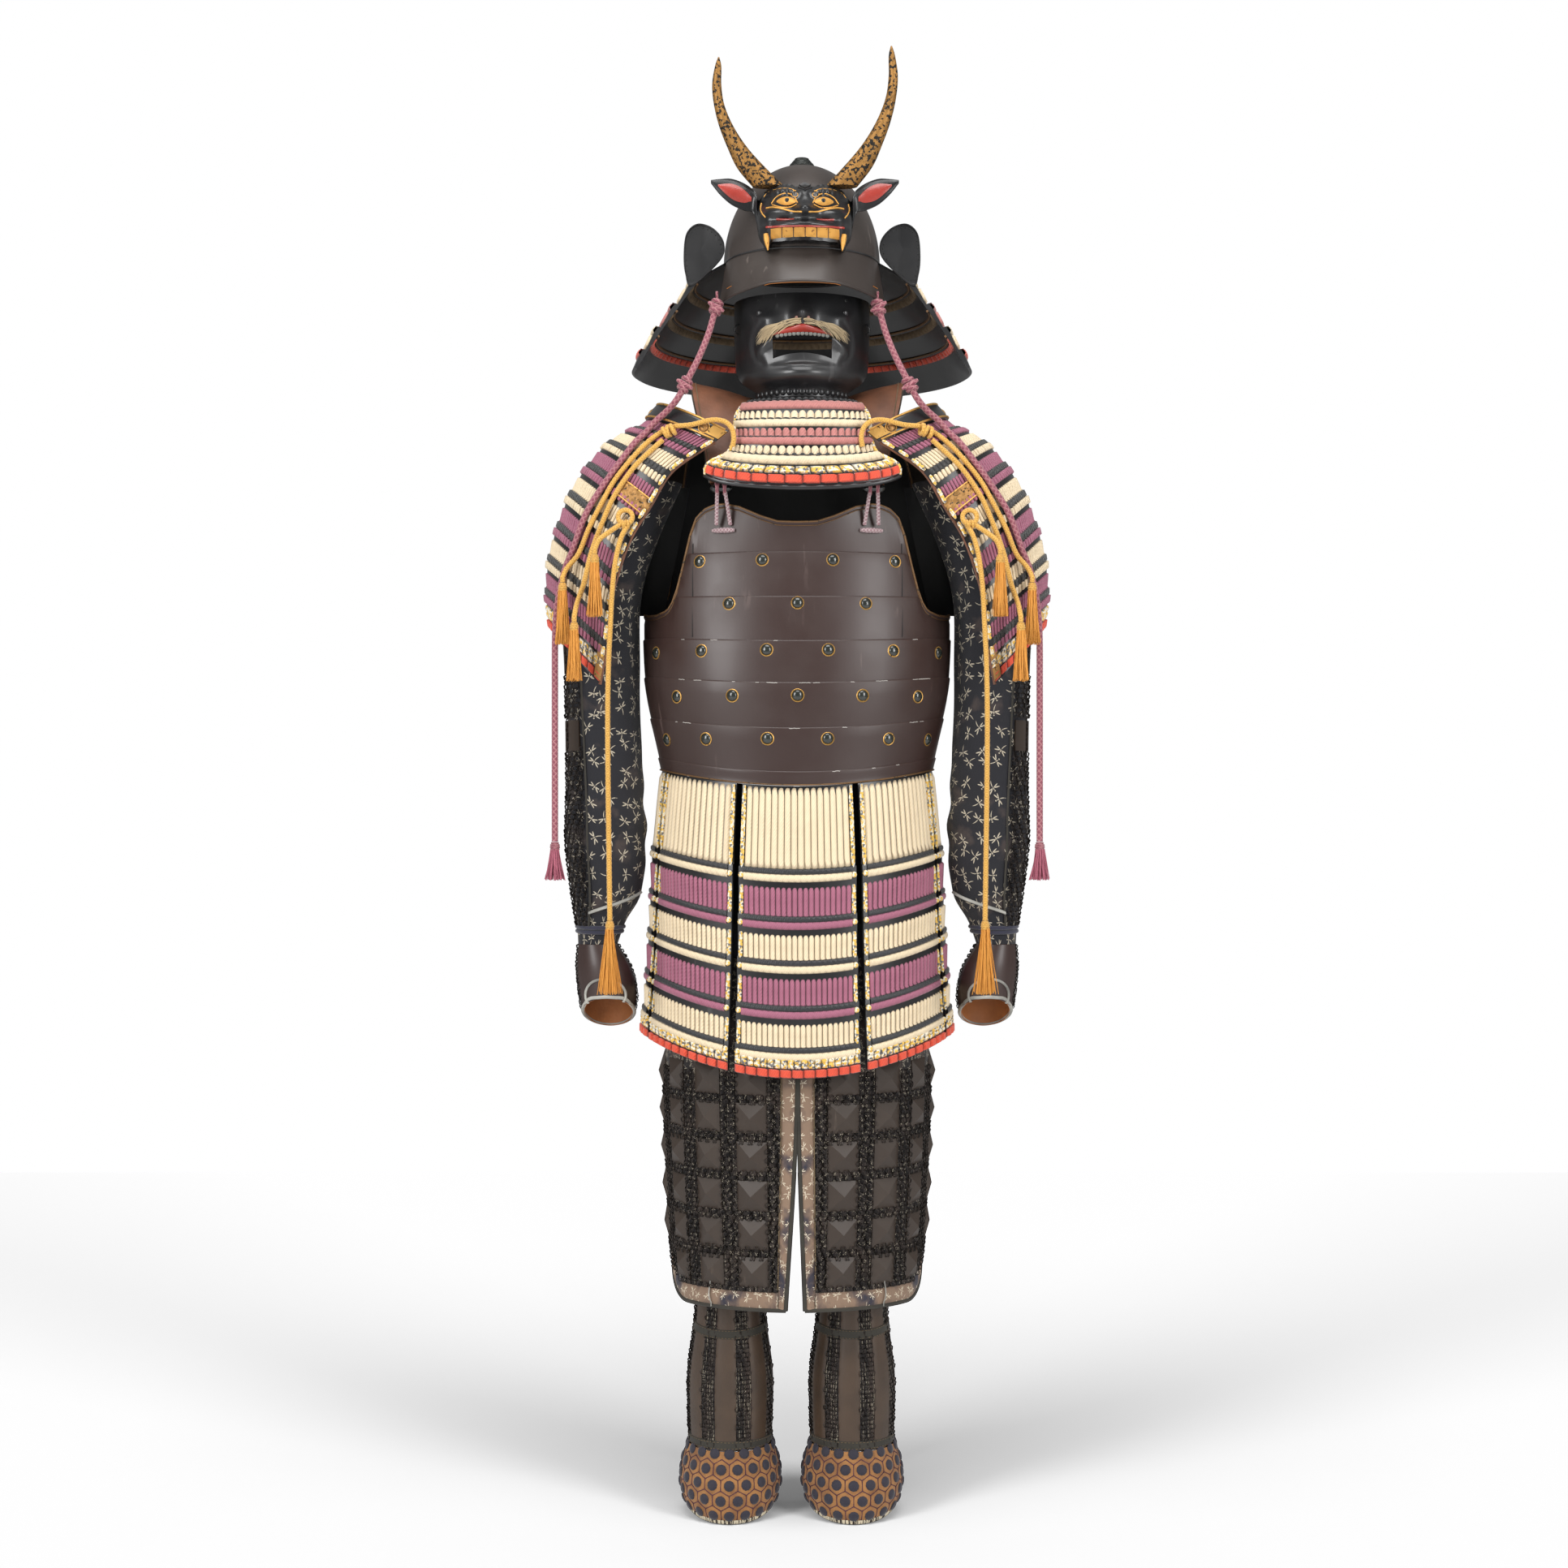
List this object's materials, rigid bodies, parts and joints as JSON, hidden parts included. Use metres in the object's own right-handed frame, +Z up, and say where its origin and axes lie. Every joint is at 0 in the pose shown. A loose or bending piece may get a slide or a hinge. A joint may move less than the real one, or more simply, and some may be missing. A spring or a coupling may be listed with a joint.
{
  "type": "samurai armour",
  "caption": "Laced samurai armour in its worn, hollow form: horned helmet, mask, cuirass, skirt plates, shoulder, arm, thigh and shin guards.",
  "frame": {"origin": "middle between the wearer's shoulders, where the set is held up", "axes": "+Z up; the front faces -Y; +X is towards the wearer's left, which is the right of the picture"},
  "size_m": [0.616, 0.3658, 1.7691],
  "materials": {
    "brown_lacquer": "dark brown lacquer over iron, satin, rubbed at the edges",
    "black_lacquer": "black lacquer, glossy with soft wear",
    "lacing": "laced lames: cream and rose silk braid over black lacquered iron",
    "rose_cord": "round braided silk, dusky rose",
    "gold_cord": "round braided silk, orange gold",
    "gilt": "worn gilding over a dark ground",
    "leather": "rust brown leather and lacquered splints",
    "blue_cloth": "navy cotton with small woven dragonflies",
    "hexagon_cloth": "tan cotton stitched in hexagons"
  },
  "bodies": {
    "root": {"helmet_bowl": "brown_lacquer", "helmet_brim": "brown_lacquer", "cuirass_front": "brown_lacquer", "cuirass_back": "brown_lacquer", "helmet_finial": "black_lacquer", "neck_guard": "black_lacquer", "turnback_l": "black_lacquer", "turnback_r": "black_lacquer", "crest_head": "black_lacquer", "face_mask": "black_lacquer", "throat_guard": "black_lacquer", "fastener_l": "black_lacquer", "fastener_r": "black_lacquer", "guard_top_l": "black_lacquer", "guard_top_r": "black_lacquer", "tasset_1": "lacing", "tasset_2": "lacing", "tasset_3": "lacing", "tasset_4": "lacing", "tasset_5": "lacing", "tasset_6": "lacing", "tasset_7": "lacing", "shoulder_guard_l": "lacing", "shoulder_guard_r": "lacing", "rose_cord_l": "rose_cord", "rose_cord_r": "rose_cord", "rose_tassel_l": "rose_cord", "rose_tassel_r": "rose_cord", "gold_cord_l": "gold_cord", "gold_cord_r": "gold_cord", "gold_branch_l": "gold_cord", "gold_branch_r": "gold_cord", "ring_cord_l": "gold_cord", "ring_cord_r": "gold_cord", "long_cord_l": "gold_cord", "long_cord_r": "gold_cord", "tassel_a_l": "gold_cord", "tassel_a_r": "gold_cord", "tassel_b_l": "gold_cord", "tassel_b_r": "gold_cord", "tassel_c_l": "gold_cord", "tassel_c_r": "gold_cord", "tassel_d_l": "gold_cord", "tassel_d_r": "gold_cord", "crest_horn_l": "gilt", "crest_horn_r": "gilt", "shoulder_strap_l": "leather", "shoulder_strap_r": "leather", "hand_guard_l": "leather", "hand_guard_r": "leather", "shin_guard_l": "leather", "shin_guard_r": "leather", "sleeve_l": "blue_cloth", "sleeve_r": "blue_cloth", "thigh_guard_l": "blue_cloth", "thigh_guard_r": "blue_cloth", "thigh_belt": "blue_cloth", "foot_cover_l": "hexagon_cloth", "foot_cover_r": "hexagon_cloth"}
  },
  "joints": []
}
